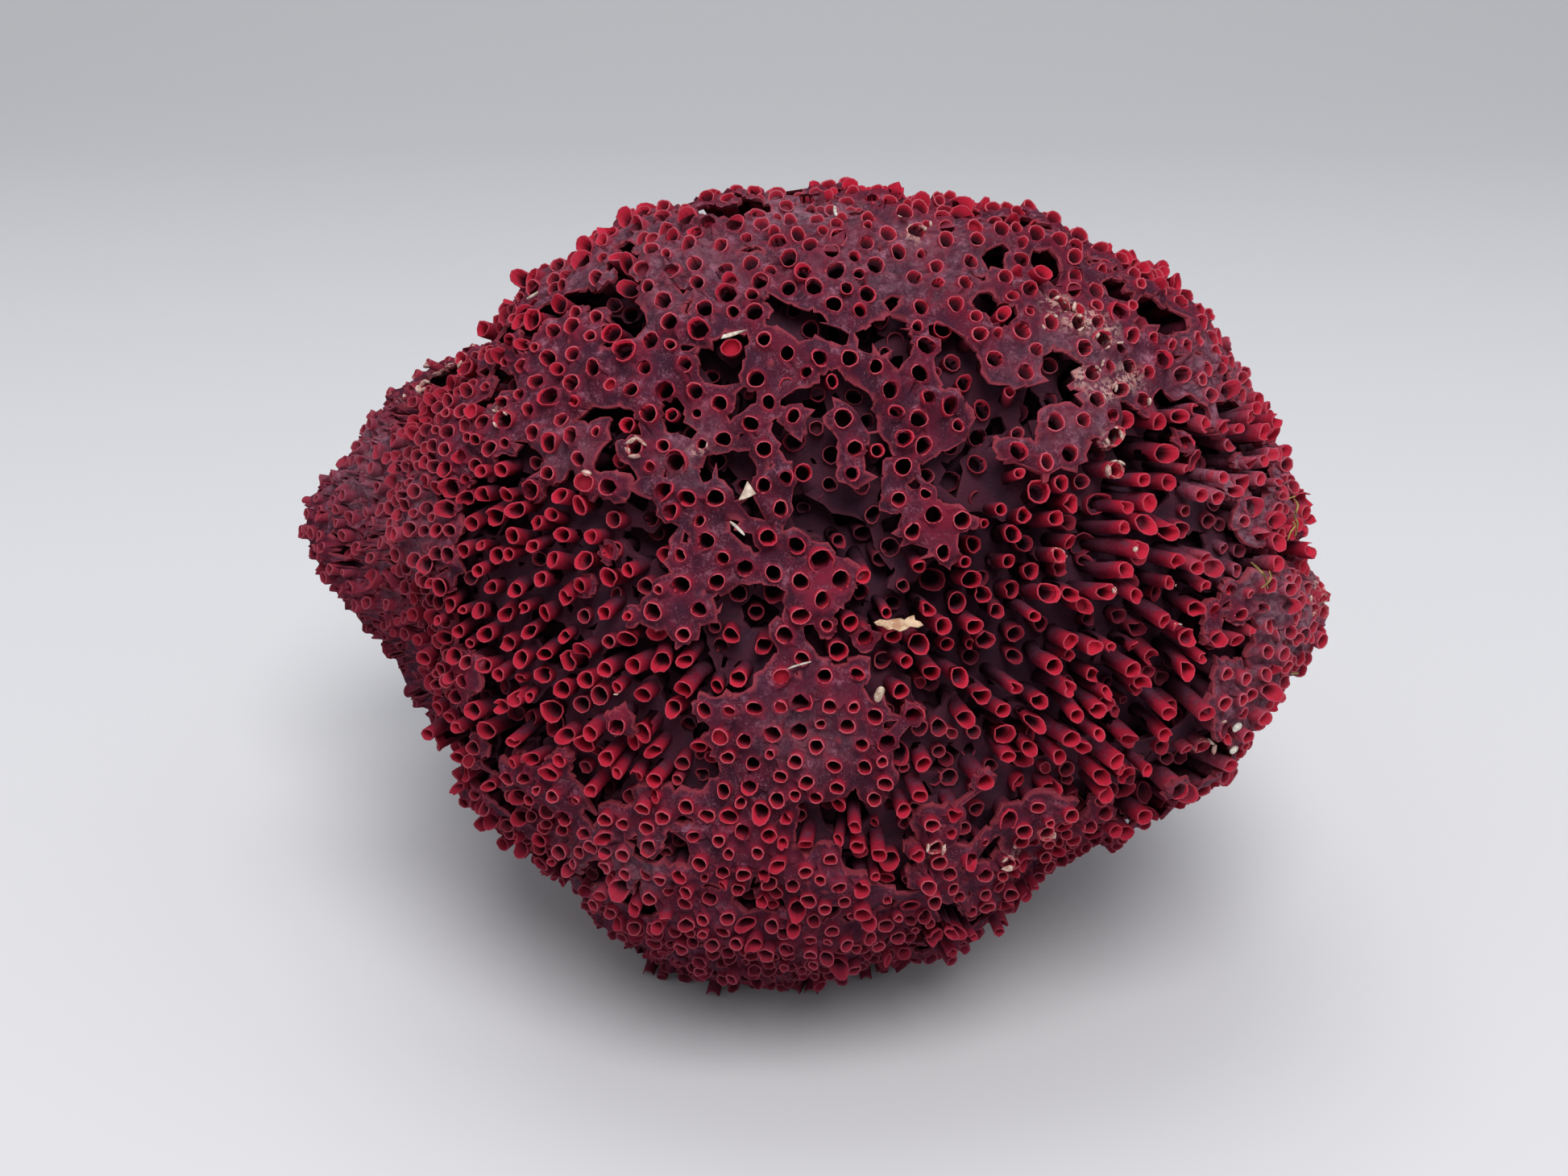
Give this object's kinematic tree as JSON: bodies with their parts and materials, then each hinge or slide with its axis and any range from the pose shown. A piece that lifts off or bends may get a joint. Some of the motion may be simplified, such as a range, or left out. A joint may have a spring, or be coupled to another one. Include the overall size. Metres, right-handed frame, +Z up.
{
  "type": "organ pipe coral",
  "caption": "Dried reef coral colony: a broad red dome of narrow tubes tied by thin plates, cut off flat at its foot so that it stands as a display piece.",
  "frame": {"origin": "on the flat cut, under the middle of the dome", "axes": "+Z up out of the flat cut, -Y towards the side with the open tube mouths, +X towards the undercut rim, with the low rear lobe at -X"},
  "size_m": [0.1261, 0.0993, 0.0951],
  "materials": {
    "coral_red": "dry matte limestone, red tubes with purple plates"
  },
  "bodies": {
    "root": {"coral_colony": "coral_red"}
  },
  "joints": []
}
